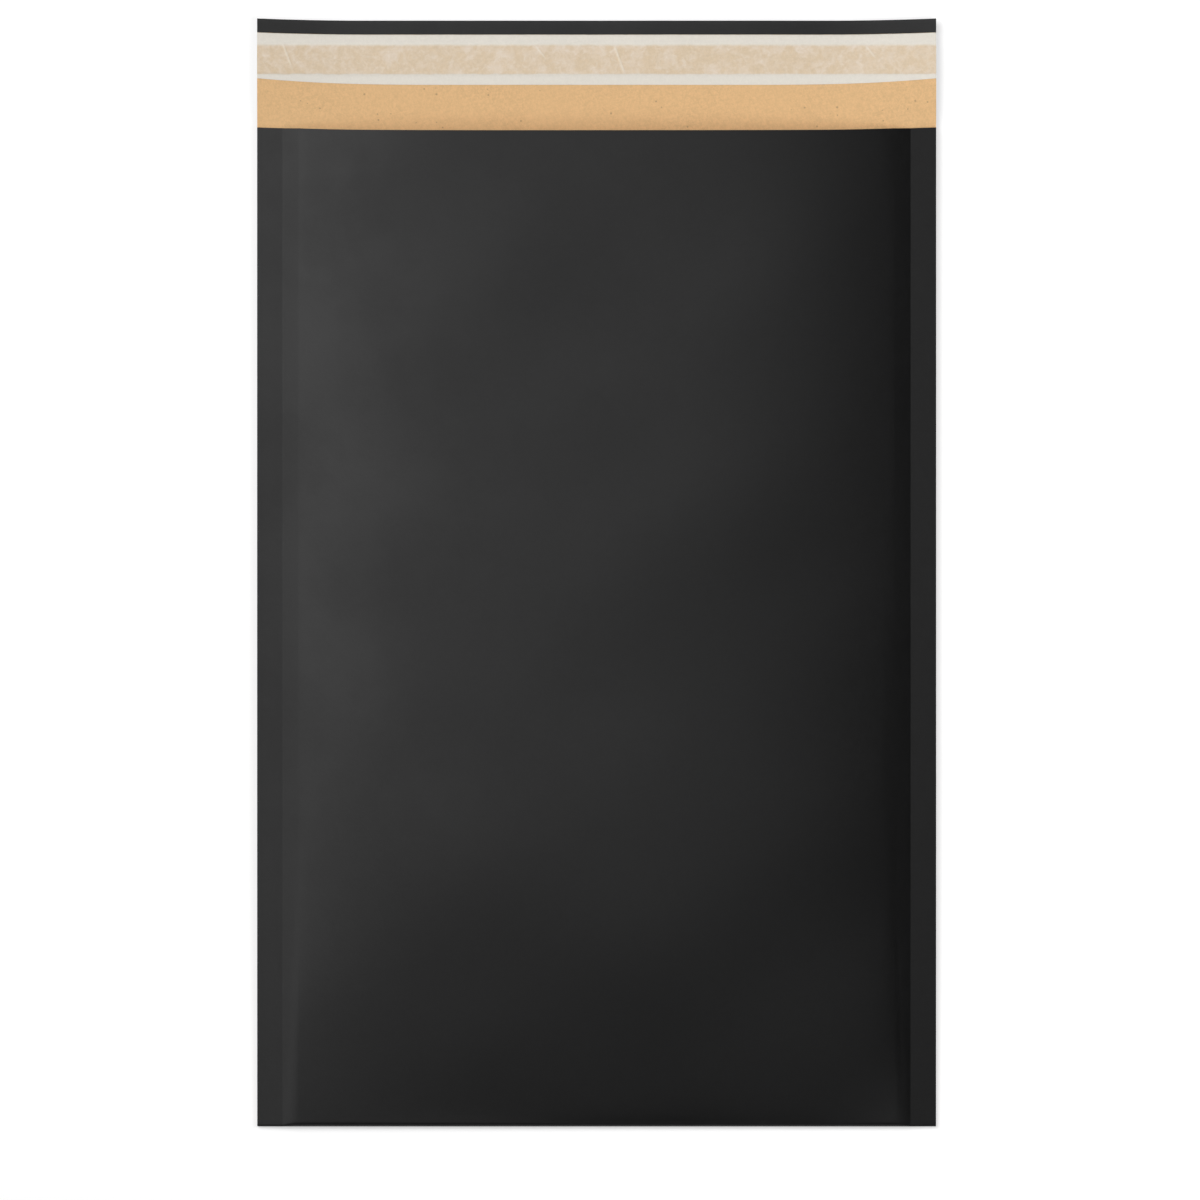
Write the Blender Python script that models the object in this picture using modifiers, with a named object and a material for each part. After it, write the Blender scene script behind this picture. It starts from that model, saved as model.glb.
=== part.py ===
"""A padded paper envelope, open and empty, lying on its back.

Everything is in metres. The front of the pocket faces up, the side seams run along Y and the flap
points to +Y. Each sheet starts as a flat grid, which is folded at the bottom of the pocket. One
section gives the place of every ply: the outer sheet's middle surface, with the padding and the
lining set in from it by their thickness and one named gap.
"""

import math

import bmesh
import bpy

MM = 0.001

# The folded envelope
WIDTH = 250 * MM
POCKET_LENGTH = 367.5 * MM
FLAP_LENGTH = 39.8 * MM
SEAM_WIDTH = 9.5 * MM
SHOULDER_WIDTH = 6.3 * MM

# The plies
OUTER_GAUGE = 0.2 * MM
LINING_GAUGE = 0.16 * MM
PADDING_THICKNESS = 2.2 * MM
PADDING_SETBACK = 0.5 * MM
PLY_GAP = 0.25 * MM

# The bottom fold presses the padding to a share of its thickness, up to some way above it
FOLD_SHARE = 0.4
FOLD_PRESS_REACH = 150 * MM

# The open pocket: its front wall rises from the bottom, and is crowned across
POCKET_HEIGHT = 7.2 * MM
POCKET_RISE = 120 * MM
CROWN_POWER = 3.8
MOUTH_DIP = 0.4 * MM

# The flap and what closes it
FLAP_TAPER = 9 * MM
FLAP_DROOP = 1.2 * MM
HEM_WIDTH = 5.1 * MM
LINER_WIDTH = 18.2 * MM
LINER_GAUGE = 0.1 * MM
LINER_CLEARANCE = 0.4 * MM
LINER_MARGIN = 3.6 * MM
ADHESIVE_WIDTH = 10.6 * MM
ADHESIVE_THICKNESS = 0.15 * MM

# Near the sides the sheets bow towards the flap, and the release liner is cut narrower
SIDE_BOW = 0.75 * MM
SIDE_BOW_REACH = 40 * MM
LINER_BOW = 1.6 * MM
LINER_BOW_REACH = 65 * MM

# The side seams sag at their edges, and past the mouth the flap's ends curl up instead
SEAM_SAG = 0.57 * MM
FLAP_CURL = 1.3 * MM
FLAP_CURL_REACH = 42 * MM
FLAP_CURL_RISE = 15 * MM

# How finely the curves are divided
PANEL_STEPS = 10
SHOULDER_STEPS = 6
FRONT_STEPS = 4
RISE_STEPS = 8
BEND_STEPS = 8
BACK_STEPS = 4
TAPER_STEPS = 4
CURL_STEPS = 3
HEM_BEND_STEPS = 6
MERGE_DISTANCE = 0.01 * MM
SHARP_ANGLE = math.radians(35)

# The padding ends at the sides where it is pressed to this share of its thickness
PADDING_EDGE_SHARE = 0.45

HALF_WIDTH = WIDTH / 2
SEAM_LINE = HALF_WIDTH - SEAM_WIDTH
PANEL_EDGE = SEAM_LINE - SHOULDER_WIDTH
SEAM_PITCH = OUTER_GAUGE / 2 + PLY_GAP + LINING_GAUGE / 2
PADDING_PITCH = PADDING_THICKNESS + PLY_GAP
LINING_PITCH = LINING_GAUGE + PLY_GAP
LINING_LEVEL = OUTER_GAUGE / 2 + SEAM_PITCH + PADDING_PITCH
FOLD_TOP = OUTER_GAUGE / 2 + SEAM_PITCH + PADDING_PITCH * FOLD_SHARE + LINING_PITCH / 2
FLAP_END = POCKET_LENGTH + FLAP_LENGTH
HEM_CENTRE = FLAP_END - OUTER_GAUGE / 2 - SEAM_PITCH
TOTAL_LENGTH = FLAP_END + SIDE_BOW


def clear_scene():
    for thing in list(bpy.data.objects):
        bpy.data.objects.remove(thing, do_unlink=True)


def share_of(length, reach):
    """How far along a reach a length is, from 0 to 1."""
    return min(max(length / reach, 0), 1)


def shoulder_share(x):
    """How much of the padding's thickness the side seam leaves at this x."""
    return 1 - share_of(x - PANEL_EDGE, SHOULDER_WIDTH)


def fold_share(y):
    """How much of the padding's thickness the bottom fold leaves at this y."""
    still_pressed = 1 - share_of(y - FOLD_TOP, FOLD_PRESS_REACH)
    return 1 - (1 - FOLD_SHARE) * still_pressed**2


def lining_inset(x, y):
    """How far the lining lies inside the outer sheet, between their middle surfaces."""
    return SEAM_PITCH + PADDING_PITCH * min(shoulder_share(x), fold_share(y))


def wall_level(x, y):
    """Height of the back lining's middle surface, where the back lies on its support."""
    return OUTER_GAUGE / 2 + SEAM_PITCH + PADDING_PITCH * fold_share(y) - seam_sag(x)


def crown(x):
    """Share of the pocket's height at this distance from the middle line."""
    return 1 - share_of(x, PANEL_EDGE) ** CROWN_POWER


def pocket_gap(x, y):
    """How far the two walls of the pocket stand apart, beyond where they just meet."""
    still_low = 1 - share_of(y - FOLD_TOP, POCKET_RISE)
    return POCKET_HEIGHT * crown(x) * (1 - still_low**2)


def seam_sag(x):
    """How far a side seam hangs below the level of its inner line."""
    return SEAM_SAG * max(x - SEAM_LINE, 0) / SEAM_WIDTH


def flap_curl(x, y):
    """How far the flap's ends are curled up, instead of sagging as the seams do."""
    near_side = max(x - (HALF_WIDTH - FLAP_CURL_REACH), 0) / FLAP_CURL_REACH
    full = FLAP_CURL * near_side**2 + seam_sag(x)
    past_mouth = min((y - POCKET_LENGTH) / FLAP_CURL_RISE, 1)
    return full * (1 - (1 - past_mouth) ** 2)


def bend_radius(x):
    """Radius of the outer sheet's middle surface round the bottom of the pocket."""
    return lining_inset(x, 0) + LINING_PITCH / 2


def bend_centre(x):
    return OUTER_GAUGE / 2 + bend_radius(x)


def bowed(x, y):
    """The place along the envelope of a line that runs across it."""
    near_side = max(x - (HALF_WIDTH - SIDE_BOW_REACH), 0) / SIDE_BOW_REACH
    return y + SIDE_BOW * near_side**2 * min(y / POCKET_LENGTH, 1)


def steps(start, end, count):
    """Places from start up to, but without, end."""
    return [start + (end - start) * i / count for i in range(count)]


def across_stations():
    """Distances from the middle line at which every ply has its vertices."""
    shoulder = steps(PANEL_EDGE, SEAM_LINE, SHOULDER_STEPS)
    return steps(0, PANEL_EDGE, PANEL_STEPS) + shoulder + [SEAM_LINE, HALF_WIDTH]


def front_wall(x, inset, end):
    """Section of the front wall from its end at the mouth down to the bottom bend."""
    low = bend_centre(x)
    start = end - MOUTH_DIP * crown(x)
    places = steps(start, POCKET_RISE, FRONT_STEPS) + steps(POCKET_RISE, low, RISE_STEPS)
    section = []
    for y in places:
        outer_height = wall_level(x, y) + LINING_PITCH + pocket_gap(x, y) + lining_inset(x, y)
        section.append((bowed(x, y), outer_height - inset(x, y)))
    return section


def bottom_bend(x, inset):
    """Half circle from the front wall round to the back wall."""
    centre_y, radius = bend_centre(x), bend_radius(x) - inset(x, 0)
    centre_z = wall_level(x, 0) + LINING_PITCH / 2
    turns = steps(0, math.pi, BEND_STEPS) + [math.pi]
    return [
        (bowed(x, centre_y - radius * math.sin(turn)), centre_z + radius * math.cos(turn))
        for turn in turns
    ]


def back_wall(x, inset, end):
    """Section of the back wall from the bottom bend up to its end at the mouth."""
    pressed = steps(bend_centre(x), FOLD_PRESS_REACH, RISE_STEPS)[1:]
    places = pressed + steps(FOLD_PRESS_REACH, end, BACK_STEPS) + [end]
    return [
        (bowed(x, y), wall_level(x, y) - lining_inset(x, y) + inset(x, y)) for y in places
    ]


def flap_level(x, y):
    """Height of the lining's middle surface on the flap."""
    droop = FLAP_DROOP * (y - POCKET_LENGTH) / FLAP_LENGTH
    return LINING_LEVEL - seam_sag(x) - droop + flap_curl(x, y)


def flap_places():
    """Places along the flap from just past the mouth to the hem's bend."""
    taper_end, curl_end = POCKET_LENGTH + FLAP_TAPER, POCKET_LENGTH + FLAP_CURL_RISE
    taper = steps(POCKET_LENGTH, taper_end, TAPER_STEPS)[1:]
    return taper + steps(taper_end, curl_end, CURL_STEPS) + [curl_end, HEM_CENTRE]


def at_outer_sheet(x, y):
    return 0


def under_outer_sheet(x, y):
    """Inset of the padding's outer face."""
    return OUTER_GAUGE / 2 + PLY_GAP


def over_lining(x, y):
    """Inset of the padding's inner face."""
    return lining_inset(x, y) - LINING_GAUGE / 2 - PLY_GAP


def pocket_section(x, inset, end):
    """A ply of the pocket, from the mouth down the front, round the bottom and up the back."""
    return front_wall(x, inset, end) + bottom_bend(x, inset) + back_wall(x, inset, end)


def lining_section(x):
    flap = [(bowed(x, y), flap_level(x, y)) for y in flap_places()]
    return pocket_section(x, lining_inset, POCKET_LENGTH) + flap


def outer_section(x):
    flap = []
    for y in flap_places():
        padded = 0.5 + 0.5 * math.cos(math.pi * share_of(y - POCKET_LENGTH, FLAP_TAPER))
        inset = SEAM_PITCH + (lining_inset(x, y) - SEAM_PITCH) * padded
        flap.append((bowed(x, y), flap_level(x, y) - inset))
    return pocket_section(x, at_outer_sheet, POCKET_LENGTH) + flap + hem(x)


def hem(x):
    """The outer sheet's end, turned forward over the end of the lining."""
    centre_y, level = HEM_CENTRE, flap_level(x, HEM_CENTRE)
    turns = steps(0, math.pi, HEM_BEND_STEPS)[1:] + [math.pi]
    bend = [
        (bowed(x, centre_y + SEAM_PITCH * math.sin(turn)), level - SEAM_PITCH * math.cos(turn))
        for turn in turns
    ]
    end = FLAP_END - HEM_WIDTH
    return bend + [(bowed(x, end), flap_level(x, end) + SEAM_PITCH)]


def padding_section(inset):
    """Section of one face of the padding, as a function of x."""
    end = POCKET_LENGTH - PADDING_SETBACK
    return lambda x: pocket_section(x, inset, end)


def adhesive_section(x):
    top = FLAP_END - HEM_WIDTH - LINER_CLEARANCE - LINER_MARGIN
    height = LINING_GAUGE / 2 + PLY_GAP + ADHESIVE_THICKNESS / 2
    return [(bowed(x, y), flap_level(x, y) + height) for y in (top, top - ADHESIVE_WIDTH)]


def liner_section(x):
    top = FLAP_END - HEM_WIDTH - LINER_CLEARANCE
    near_side = max(x - (HALF_WIDTH - LINER_BOW_REACH), 0) / LINER_BOW_REACH
    low = top - LINER_WIDTH + LINER_BOW * near_side**2
    height = LINING_GAUGE / 2 + 2 * PLY_GAP + ADHESIVE_THICKNESS + LINER_GAUGE / 2
    return [(bowed(x, y), flap_level(x, y) + height) for y in (top, low)]


def folded_blank(stations, section):
    """Half of a sheet as a grid, folded to its section at each distance from the middle."""
    columns, rows = len(stations), len(section(0))
    blank = bmesh.new()
    bmesh.ops.create_grid(blank, x_segments=columns - 1, y_segments=rows - 1, size=1)
    place_in_grid = blank.verts.layers.int.new("place_in_grid")
    for number, vert in enumerate(blank.verts):
        vert[place_in_grid] = number
    fold(blank.verts, place_in_grid, stations, section)
    bmesh.ops.triangulate(blank, faces=blank.faces, quad_method="FIXED")
    return blank


def fold(verts, place_in_grid, stations, section):
    """Move each vertex of a grid to its place in the section at its distance from the middle."""
    sections = [section(x) for x in stations]
    for vert in verts:
        row, column = divmod(vert[place_in_grid], len(stations))
        vert.co = (stations[column], *sections[column][row])


def thicken_to(blank, stations, section):
    """Extrude a blank and fold the new face to a second section, open at the middle line."""
    made = bmesh.ops.extrude_face_region(blank, geom=blank.faces[:], use_keep_orig=True)
    copies = [v for v in made["geom"] if isinstance(v, bmesh.types.BMVert)]
    fold(copies, blank.verts.layers.int["place_in_grid"], stations, section)
    cap = [f for f in blank.faces if all(v.co.x < MERGE_DISTANCE for v in f.verts)]
    bmesh.ops.delete(blank, geom=cap, context="FACES_ONLY")
    bmesh.ops.recalc_face_normals(blank, faces=blank.faces)


def place(name, blank, look, home, group):
    """Make the object of a half piece and mirror it across the middle line."""
    mesh = bpy.data.meshes.new(name)
    blank.to_mesh(mesh)
    blank.free()
    mesh.shade_smooth()
    mesh.set_sharp_from_angle(angle=SHARP_ANGLE)
    mesh.materials.append(look)
    piece = bpy.data.objects.new(name, mesh)
    group.objects.link(piece)
    piece.parent = home
    mirror = piece.modifiers.new("Mirror", "MIRROR")
    mirror.merge_threshold = MERGE_DISTANCE
    return piece


def give_gauge(piece, gauge):
    shell = piece.modifiers.new("Gauge", "SOLIDIFY")
    shell.thickness = gauge
    shell.offset = 0
    shell.use_even_offset = True


def paper(name, colour, roughness):
    look = bpy.data.materials.new(name)
    look.use_nodes = True
    shader = look.node_tree.nodes["Principled BSDF"]
    shader.inputs["Base Color"].default_value = (*colour, 1)
    shader.inputs["Roughness"].default_value = roughness
    shader.inputs["Metallic"].default_value = 0
    return look


def make_sheet(name, section, gauge, look, home, group):
    blank = folded_blank(across_stations(), section)
    give_gauge(place(name, blank, look, home, group), gauge)


def make_padding(look, home, group):
    stations = [x for x in across_stations() if shoulder_share(x) >= PADDING_EDGE_SHARE]
    blank = folded_blank(stations, padding_section(under_outer_sheet))
    thicken_to(blank, stations, padding_section(over_lining))
    place("padding", blank, look, home, group)


def main():
    clear_scene()
    group = bpy.data.collections.new("padded_envelope")
    bpy.context.scene.collection.children.link(group)
    home = bpy.data.objects.new("envelope_frame", None)
    home.location = (0, -TOTAL_LENGTH / 2, 0)
    group.objects.link(home)

    black_paper = paper("black_paper", (0.011, 0.011, 0.012), 0.55)
    kraft_paper = paper("kraft_paper", (0.68, 0.43, 0.21), 0.75)
    wadding = paper("paper_wadding", (0.52, 0.42, 0.30), 0.95)
    glue = paper("adhesive", (0.66, 0.52, 0.38), 0.35)
    release_paper = paper("release_paper", (0.70, 0.67, 0.60), 0.4)

    make_sheet("outer_sheet", outer_section, OUTER_GAUGE, black_paper, home, group)
    make_padding(wadding, home, group)
    make_sheet("lining", lining_section, LINING_GAUGE, kraft_paper, home, group)
    make_sheet("adhesive_strip", adhesive_section, ADHESIVE_THICKNESS, glue, home, group)
    make_sheet("release_liner", liner_section, LINER_GAUGE, release_paper, home, group)
    bpy.context.view_layer.update()


if __name__ == "__main__":
    main()
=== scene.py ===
"""Looks of a padded paper envelope, open and empty, lying on its back.

Each ply is a fine sheet folded to the same section as its solid in the frame. The plies of a wall
share one height field, so their waves never cross. Lengths are in metres, X runs across the
envelope, Y from its bottom fold to the end of the flap, and Z up out of the pocket.
"""

import math

import bpy
import numpy as np
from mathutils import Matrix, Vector


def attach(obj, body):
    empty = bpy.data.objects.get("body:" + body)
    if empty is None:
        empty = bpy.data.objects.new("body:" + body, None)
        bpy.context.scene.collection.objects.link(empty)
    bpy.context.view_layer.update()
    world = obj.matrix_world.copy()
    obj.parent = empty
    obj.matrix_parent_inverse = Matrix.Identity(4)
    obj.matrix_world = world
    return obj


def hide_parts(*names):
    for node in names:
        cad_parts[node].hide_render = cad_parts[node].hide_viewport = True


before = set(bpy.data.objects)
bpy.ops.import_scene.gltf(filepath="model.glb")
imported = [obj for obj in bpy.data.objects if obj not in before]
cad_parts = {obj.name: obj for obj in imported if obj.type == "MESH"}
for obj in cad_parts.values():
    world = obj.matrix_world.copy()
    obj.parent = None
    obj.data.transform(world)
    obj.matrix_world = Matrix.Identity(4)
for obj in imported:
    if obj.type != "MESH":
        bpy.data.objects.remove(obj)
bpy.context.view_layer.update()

bl_info = {
    "name": "Padded envelope",
    "version": (1, 0, 0),
    "blender": (4, 5, 0),
    "location": "3D View > Sidebar > Envelope",
    "description": "Makes the plies, the papers and the stage of a padded envelope",
    "category": "Add Mesh",
}

MM = 0.001

# The folded envelope, as the solids have it
WIDTH = 250 * MM
POCKET_LENGTH = 367.5 * MM
FLAP_LENGTH = 39.8 * MM
SEAM_WIDTH = 9.5 * MM
SHOULDER_WIDTH = 6.3 * MM

# The plies
OUTER_GAUGE = 0.2 * MM
LINING_GAUGE = 0.16 * MM
PADDING_THICKNESS = 2.2 * MM
PADDING_SETBACK = 0.5 * MM
PADDING_EDGE_SHARE = 0.45
PLY_GAP = 0.25 * MM
SHOULDER_ROUNDING = 0.8
LEAST_ROUNDING = 0.05

# The pressed bottom fold and the open pocket
FOLD_SHARE = 0.4
FOLD_PRESS_REACH = 150 * MM
POCKET_HEIGHT = 7.2 * MM
POCKET_RISE = 120 * MM
CROWN_POWER = 3.8
LOW_CROWN_POWER = 2.0
MOUTH_DIP = 0.7 * MM
MOUTH_TRIM = 0.35 * MM

# The flap and what closes it
FLAP_TAPER = 9 * MM
FLAP_DROOP = 1.2 * MM
HEM_WIDTH = 5.1 * MM
LINER_WIDTH = 18.2 * MM
LINER_GAUGE = 0.1 * MM
LINER_CLEARANCE = 0.4 * MM
LINER_MARGIN = 3.6 * MM
ADHESIVE_WIDTH = 10.6 * MM
ADHESIVE_THICKNESS = 0.15 * MM

# How the sheets bow, sag and curl near the sides
SIDE_BOW = 0.75 * MM
SIDE_BOW_REACH = 40 * MM
LINER_BOW = 1.6 * MM
LINER_BOW_REACH = 65 * MM
SEAM_SAG = 0.57 * MM
FLAP_CURL = 1.3 * MM
FLAP_CURL_REACH = 42 * MM
FLAP_CURL_RISE = 15 * MM

HALF_WIDTH = WIDTH / 2
SEAM_LINE = HALF_WIDTH - SEAM_WIDTH
PANEL_EDGE = SEAM_LINE - SHOULDER_WIDTH
SEAM_PITCH = OUTER_GAUGE / 2 + PLY_GAP + LINING_GAUGE / 2
PADDING_PITCH = PADDING_THICKNESS + PLY_GAP
LINING_PITCH = LINING_GAUGE + PLY_GAP
LINING_LEVEL = OUTER_GAUGE / 2 + SEAM_PITCH + PADDING_PITCH
FOLD_TOP = OUTER_GAUGE / 2 + SEAM_PITCH + PADDING_PITCH * FOLD_SHARE + LINING_PITCH / 2
FLAP_END = POCKET_LENGTH + FLAP_LENGTH
HEM_CENTRE = FLAP_END - OUTER_GAUGE / 2 - SEAM_PITCH
LINER_TOP = FLAP_END - HEM_WIDTH - LINER_CLEARANCE
GLUE_TOP = LINER_TOP - LINER_MARGIN
TOTAL_LENGTH = FLAP_END + SIDE_BOW

# Places in this file run from the bottom fold, and the frame's origin is halfway along
ORIGIN_ALONG = TOTAL_LENGTH / 2

# How finely the sheets are divided
PANEL_SPACING = 2.5 * MM
SEAM_SPACING = 1.6 * MM
SHOULDER_STEPS = 8
SEAM_LINE_SPACING = 0.25 * MM
WALL_SPACING = 2.5 * MM
BACK_SPACING = 6 * MM
FLAP_SPACING = 1.5 * MM
BEND_STEPS = 14
HEM_BEND_STEPS = 8
HEM_STEPS = 4
GLUE_ROWS = 13
LINER_ROWS = 61
MOUTH_STEPS = (0, 0.4 * MM, 1 * MM, 1.8 * MM)
SHARP_ANGLE = math.radians(35)

# The slow waves: a seed for each field, and the lengths of its waves
WAVE_COUNT = 9
FRONT_WAVE_SEED = 5
FRONT_WAVE_LENGTHS = (55 * MM, 170 * MM)
FLAP_WAVE_SEED = 11
FLAP_WAVE_LENGTHS = (35 * MM, 110 * MM)
PLY_SEED = 21
PLY_WAVE_LENGTHS = (3 * MM, 17 * MM)

# Broad forms of the front wall, read from its shading: where each is, as a share of the width
# from the left edge and of the pocket's length from the bottom fold, then its reach and height
PANEL_SWELLS = (
    (0.62, 0.27, 70 * MM, 2.5 * MM),
    (0.48, 0.55, 60 * MM, 1.5 * MM),
    (0.88, 0.08, 35 * MM, 1.5 * MM),
    (0.36, 0.90, 70 * MM, -1.0 * MM),
)

# Small dents, where the photographed sheet has its darker clouds, given in the same way
PANEL_DENTS = (
    (0.24, 0.90, 26 * MM, -0.3 * MM),
    (0.57, 0.67, 24 * MM, -0.3 * MM),
    (0.80, 0.56, 22 * MM, -0.25 * MM),
    (0.28, 0.12, 20 * MM, -0.2 * MM),
    (0.38, 0.06, 16 * MM, -0.15 * MM),
)

# Forms are half as high where the walls stand this far apart, and lower where they are closer
FORM_FADE = 0.35 * MM

# Creases of the release liner: their ends, from the left edge and down from the hem
LINER_CREASES = (
    ((9.6 * MM, 4.2 * MM), (12.5 * MM, 11.8 * MM)),
    ((102.7 * MM, 4.5 * MM), (106 * MM, 8.6 * MM)),
    ((131.8 * MM, 4.8 * MM), (135.1 * MM, 13.7 * MM)),
    ((224.2 * MM, 4.5 * MM), (227.6 * MM, 8.6 * MM)),
)
CREASE_WIDTH = 0.3 * MM
CREASE_END_FADE = 1.5 * MM
CREASE_SPACING = 0.3 * MM
CREASE_REACH = 2.4 * MM

# How the glue band fades at its edges, and how far its edge wanders
BAND_TOP_FADE = 0.7 * MM
BAND_LOW_FADE = 0.3 * MM
BAND_SWAY = 0.7 * MM

# The glue and the liner are pressed down on the flap, closer than their solids are
PRESSED_GAP = 0.03 * MM
LINER_LIFT = 0.3 * MM
GLUE_STEP = 0.9 * MM


# Settings that a user may change


class EnvelopeShapeSettings(bpy.types.PropertyGroup):
    wave_height: bpy.props.FloatProperty(
        name="Wave height",
        description="Height of the slow waves in the front wall",
        default=0.22 * MM,
        min=0,
        unit="LENGTH",
    )
    form_share: bpy.props.FloatProperty(
        name="Forms", description="Share of the swells' and dents' height", default=1, min=0, max=2
    )
    flap_wave_height: bpy.props.FloatProperty(
        name="Flap wave height",
        description="Height of the slow waves in the flap",
        default=0.12 * MM,
        min=0,
        unit="LENGTH",
    )
    crease_height: bpy.props.FloatProperty(
        name="Crease height",
        description="Height of the small creases in the release liner",
        default=0.15 * MM,
        min=0,
        unit="LENGTH",
    )
    wadding_plies: bpy.props.IntProperty(
        name="Wadding plies",
        description="Sheets of crepe paper that make up the padding",
        default=6,
        min=2,
        max=12,
    )
    ragged_edge: bpy.props.FloatProperty(
        name="Ragged edge",
        description="How far the plies of the padding differ in length at the mouth",
        default=0.35 * MM,
        min=0,
        unit="LENGTH",
    )


class EnvelopePaperSettings(bpy.types.PropertyGroup):
    black: bpy.props.FloatVectorProperty(
        name="Black paper",
        description="Colour of the outer sheet",
        subtype="COLOR",
        default=(0.0010, 0.0010, 0.0011),
    )
    kraft: bpy.props.FloatVectorProperty(
        name="Kraft paper",
        description="Colour of the lining",
        subtype="COLOR",
        default=(0.672, 0.425, 0.207),
    )
    release: bpy.props.FloatVectorProperty(
        name="Release paper",
        description="Colour of the liner beside the glue",
        subtype="COLOR",
        default=(0.700, 0.660, 0.590),
    )
    glued: bpy.props.FloatVectorProperty(
        name="Glued band",
        description="Colour of the liner where the glue below shows through",
        subtype="COLOR",
        default=(0.640, 0.505, 0.350),
    )
    lifted: bpy.props.FloatVectorProperty(
        name="Lifted patches",
        description="Colour of the glued band where the liner has come off the glue",
        subtype="COLOR",
        default=(0.735, 0.640, 0.545),
    )
    wadding: bpy.props.FloatVectorProperty(
        name="Wadding",
        description="Colour of the padding paper",
        subtype="COLOR",
        default=(0.52, 0.42, 0.30),
    )


class EnvelopeStageSettings(bpy.types.PropertyGroup):
    key_power: bpy.props.FloatProperty(
        name="Key light", description="Power of the large soft lamp", default=56, unit="POWER"
    )
    fill_power: bpy.props.FloatProperty(
        name="Fill light", description="Power of the small soft lamp", default=1.5, unit="POWER"
    )
    ambient: bpy.props.FloatProperty(
        name="Ambient light", description="Strength of the even light all round", default=0.15
    )
    lens: bpy.props.FloatProperty(
        name="Lens", description="Focal length in millimetres", default=300
    )
    view_width: bpy.props.FloatProperty(
        name="View width",
        description="Width of what the camera sees at the envelope",
        default=441.8 * MM,
        unit="LENGTH",
    )


class EnvelopeSettings(bpy.types.PropertyGroup):
    shape: bpy.props.PointerProperty(type=EnvelopeShapeSettings)
    paper: bpy.props.PointerProperty(type=EnvelopePaperSettings)
    stage: bpy.props.PointerProperty(type=EnvelopeStageSettings)


# Section of the envelope, with x from the middle line and y from the bottom fold


def share_of(length, reach):
    """How far along a reach a length is, from 0 to 1."""
    return np.clip(length / reach, 0, 1)


def shoulder_share(x):
    """How much of the padding's thickness the side seam would leave at this x."""
    return np.clip((SEAM_LINE - np.abs(x)) / SHOULDER_WIDTH, 0, None)


def fold_share(y):
    """How much of the padding's thickness the bottom fold leaves at this y."""
    still_pressed = 1 - share_of(y - FOLD_TOP, FOLD_PRESS_REACH)
    return 1 - (1 - FOLD_SHARE) * still_pressed**2


def padding_share(x, y):
    """The lesser of what the seam and the fold leave of the padding, with a rounded shoulder."""
    by_seam, by_fold = shoulder_share(x), fold_share(y)
    rounding = SHOULDER_ROUNDING * (1 + LEAST_ROUNDING - by_fold)
    closeness = np.clip(1 - np.abs(by_seam - by_fold) / rounding, 0, 1)
    return np.minimum(by_seam, by_fold) - rounding * closeness**2 / 4


def lining_inset(x, y):
    """How far the lining lies inside the outer sheet, between their middle surfaces."""
    return SEAM_PITCH + PADDING_PITCH * padding_share(x, y)


def wall_level(x, y):
    """Height of the back lining's middle surface, where the back lies on its support."""
    return OUTER_GAUGE / 2 + SEAM_PITCH + PADDING_PITCH * fold_share(y) - seam_sag(x)


def crown(x, power=CROWN_POWER, edge=PANEL_EDGE):
    """Share of the pocket's height at this distance from the middle line, down to 0 at an edge."""
    return 1 - share_of(np.abs(x), edge) ** power


def pocket_gap(x, y):
    """How far the two walls of the pocket stand apart, rounder across where it is low."""
    still_low = 1 - share_of(y - FOLD_TOP, POCKET_RISE)
    power = CROWN_POWER - (CROWN_POWER - LOW_CROWN_POWER) * still_low
    # The thinner the padding is, the nearer to the seam its shoulder starts
    shoulder_top = SEAM_LINE - SHOULDER_WIDTH * fold_share(y)
    return POCKET_HEIGHT * crown(x, power, shoulder_top) * (1 - still_low**2)


def bend_radius(x):
    """Radius of the outer sheet's middle surface round the bottom of the pocket."""
    return lining_inset(x, 0 * x) + LINING_PITCH / 2


def bend_centre(x):
    return OUTER_GAUGE / 2 + bend_radius(x)


def seam_sag(x):
    return SEAM_SAG * np.clip(np.abs(x) - SEAM_LINE, 0, None) / SEAM_WIDTH


def flap_curl(x, y):
    near_side = share_of(np.abs(x) - (HALF_WIDTH - FLAP_CURL_REACH), FLAP_CURL_REACH)
    full = FLAP_CURL * near_side**2 + seam_sag(x)
    past_mouth = share_of(y - POCKET_LENGTH, FLAP_CURL_RISE)
    return full * (1 - (1 - past_mouth) ** 2)


def bowed(x, y):
    """The place along the envelope of a line that runs across it."""
    near_side = share_of(np.abs(x) - (HALF_WIDTH - SIDE_BOW_REACH), SIDE_BOW_REACH)
    return y + SIDE_BOW * near_side**2 * np.minimum(y / POCKET_LENGTH, 1)


# Waves and forms that all plies of a wall share


def slow_waves(x, y, seed, shortest, longest):
    """A smooth height field, mostly from -1 to 1, made of long waves in all directions."""
    rng = np.random.default_rng(seed)
    total = np.zeros(np.broadcast(x, y).shape)
    for _ in range(WAVE_COUNT):
        heading = rng.uniform(0, math.pi)
        length = rng.uniform(shortest, longest)
        phase = rng.uniform(0, 2 * math.pi)
        along = x * math.cos(heading) + y * math.sin(heading)
        total += np.sin(2 * math.pi * along / length + phase)
    return total / math.sqrt(WAVE_COUNT)


def front_waves(x, y, shape):
    """Height that the front wall gains from waves and forms, fading where the walls meet."""
    height = shape.wave_height * slow_waves(x, y, FRONT_WAVE_SEED, *FRONT_WAVE_LENGTHS)
    for width_share, length_share, reach, form in PANEL_SWELLS + PANEL_DENTS:
        beside, above = x + HALF_WIDTH - width_share * WIDTH, y - length_share * POCKET_LENGTH
        height = height + shape.form_share * form * np.exp(-(beside**2 + above**2) / reach**2)
    room = pocket_gap(x, y)
    return height * room / (room + FORM_FADE)


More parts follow.
